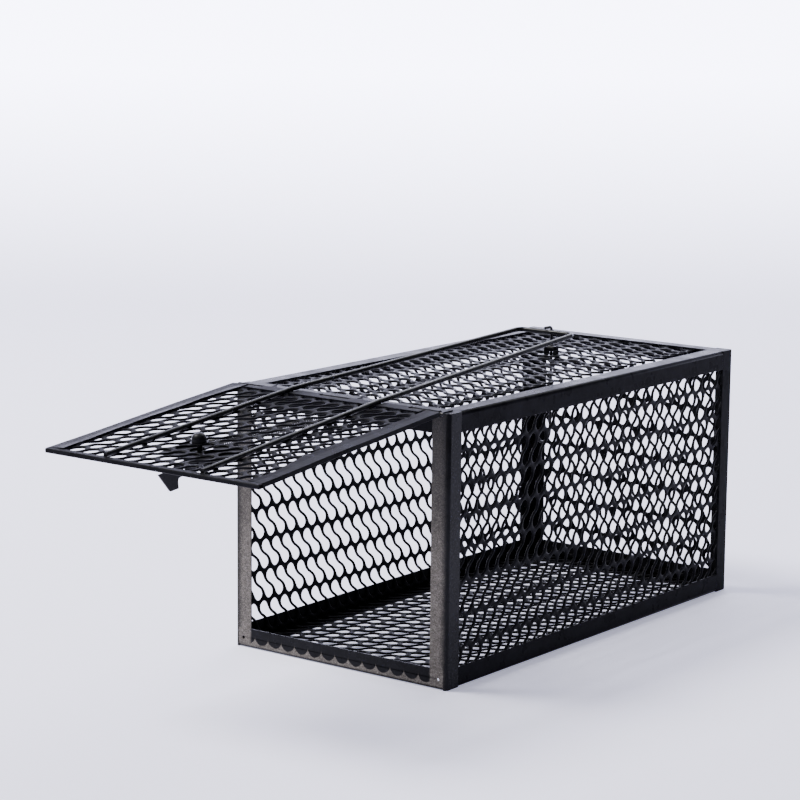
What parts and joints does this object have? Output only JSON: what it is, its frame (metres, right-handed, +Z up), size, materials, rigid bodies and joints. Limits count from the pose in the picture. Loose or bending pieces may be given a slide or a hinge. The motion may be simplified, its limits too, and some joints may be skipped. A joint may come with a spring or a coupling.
{
  "type": "live catch trap",
  "caption": "Wire mesh box trap with an angle strip frame, a spring-closed top-hinged drop door with sliding latch, a U lever and a bait hook trigger.",
  "frame": {"origin": "middle of the underside of the front sill strip, on the surface the trap stands on", "axes": "+X across the trap to its right seen from the door, +Y from the door end to the back, +Z up"},
  "size_m": [0.132, 0.3948, 0.1496],
  "materials": {
    "painted_strip": "satin gloss black paint on sheet steel",
    "painted_mesh": "satin black paint on expanded steel mesh",
    "painted_wire": "gloss black paint on steel wire",
    "bare_faced_strip": "black painted sheet steel with bare grainy metal on its front faces",
    "spring_steel": "black coated spring wire"
  },
  "bodies": {
    "cage": {"post_front_left": "bare_faced_strip", "post_front_right": "bare_faced_strip", "post_back_left": "painted_strip", "post_back_right": "painted_strip", "rail_top_left": "painted_strip", "rail_top_right": "painted_strip", "rail_top_back": "painted_strip", "header_strip": "painted_strip", "rail_bottom_left": "painted_strip", "rail_bottom_right": "painted_strip", "rail_bottom_back": "painted_strip", "sill_strip": "bare_faced_strip", "mesh_floor": "painted_mesh", "mesh_left": "painted_mesh", "mesh_right": "painted_mesh", "mesh_back": "painted_mesh", "mesh_roof": "painted_mesh", "hinge_lugs": "painted_strip", "hinge_pin": "painted_wire", "header_eye": "painted_wire", "trigger_bracket": "painted_strip", "trigger_pin": "painted_wire"},
    "door": {"door_mesh": "painted_mesh", "door_strip_left": "painted_strip", "door_strip_right": "painted_strip", "door_edge_strip": "painted_strip", "door_hinge_strip": "painted_strip", "lever_wire": "painted_wire", "latch_channel": "painted_strip", "latch_pins": "painted_wire", "channel_eye": "painted_wire"},
    "latch": {"latch_blade": "painted_strip", "latch_stem": "painted_strip", "latch_knob": "painted_strip", "knob_washer": "painted_strip"},
    "spring": {"closing_spring": "spring_steel"},
    "trigger": {"trigger_hook": "painted_wire"}
  },
  "joints": [
    {"name": "door_swing", "type": "hinge", "parent": "cage", "child": "door", "pos_m": [0, -0.0069, 0.134], "axis": [1, 0, 0], "range_deg": [-2.5, 84]},
    {"name": "latch_slide", "type": "slide", "parent": "door", "child": "latch", "axis": [0, 0.9945, 0.1045], "range_m": [0, 0.0085]},
    {"name": "spring_swing", "type": "hinge", "parent": "cage", "child": "spring", "pos_m": [-0.012, -0.0046, 0.12195], "axis": [1, 0, 0], "range_deg": [-3, 92], "deforming": ["closing_spring"]},
    {"name": "trigger_tip", "type": "hinge", "parent": "cage", "child": "trigger", "pos_m": [0, 0.1765, 0.137], "axis": [-1, 0, 0], "range_deg": [0, 30]}
  ],
  "couplings": [
    {"joint": "spring_swing", "follows": "door_swing", "ratio": 1.0759}
  ]
}
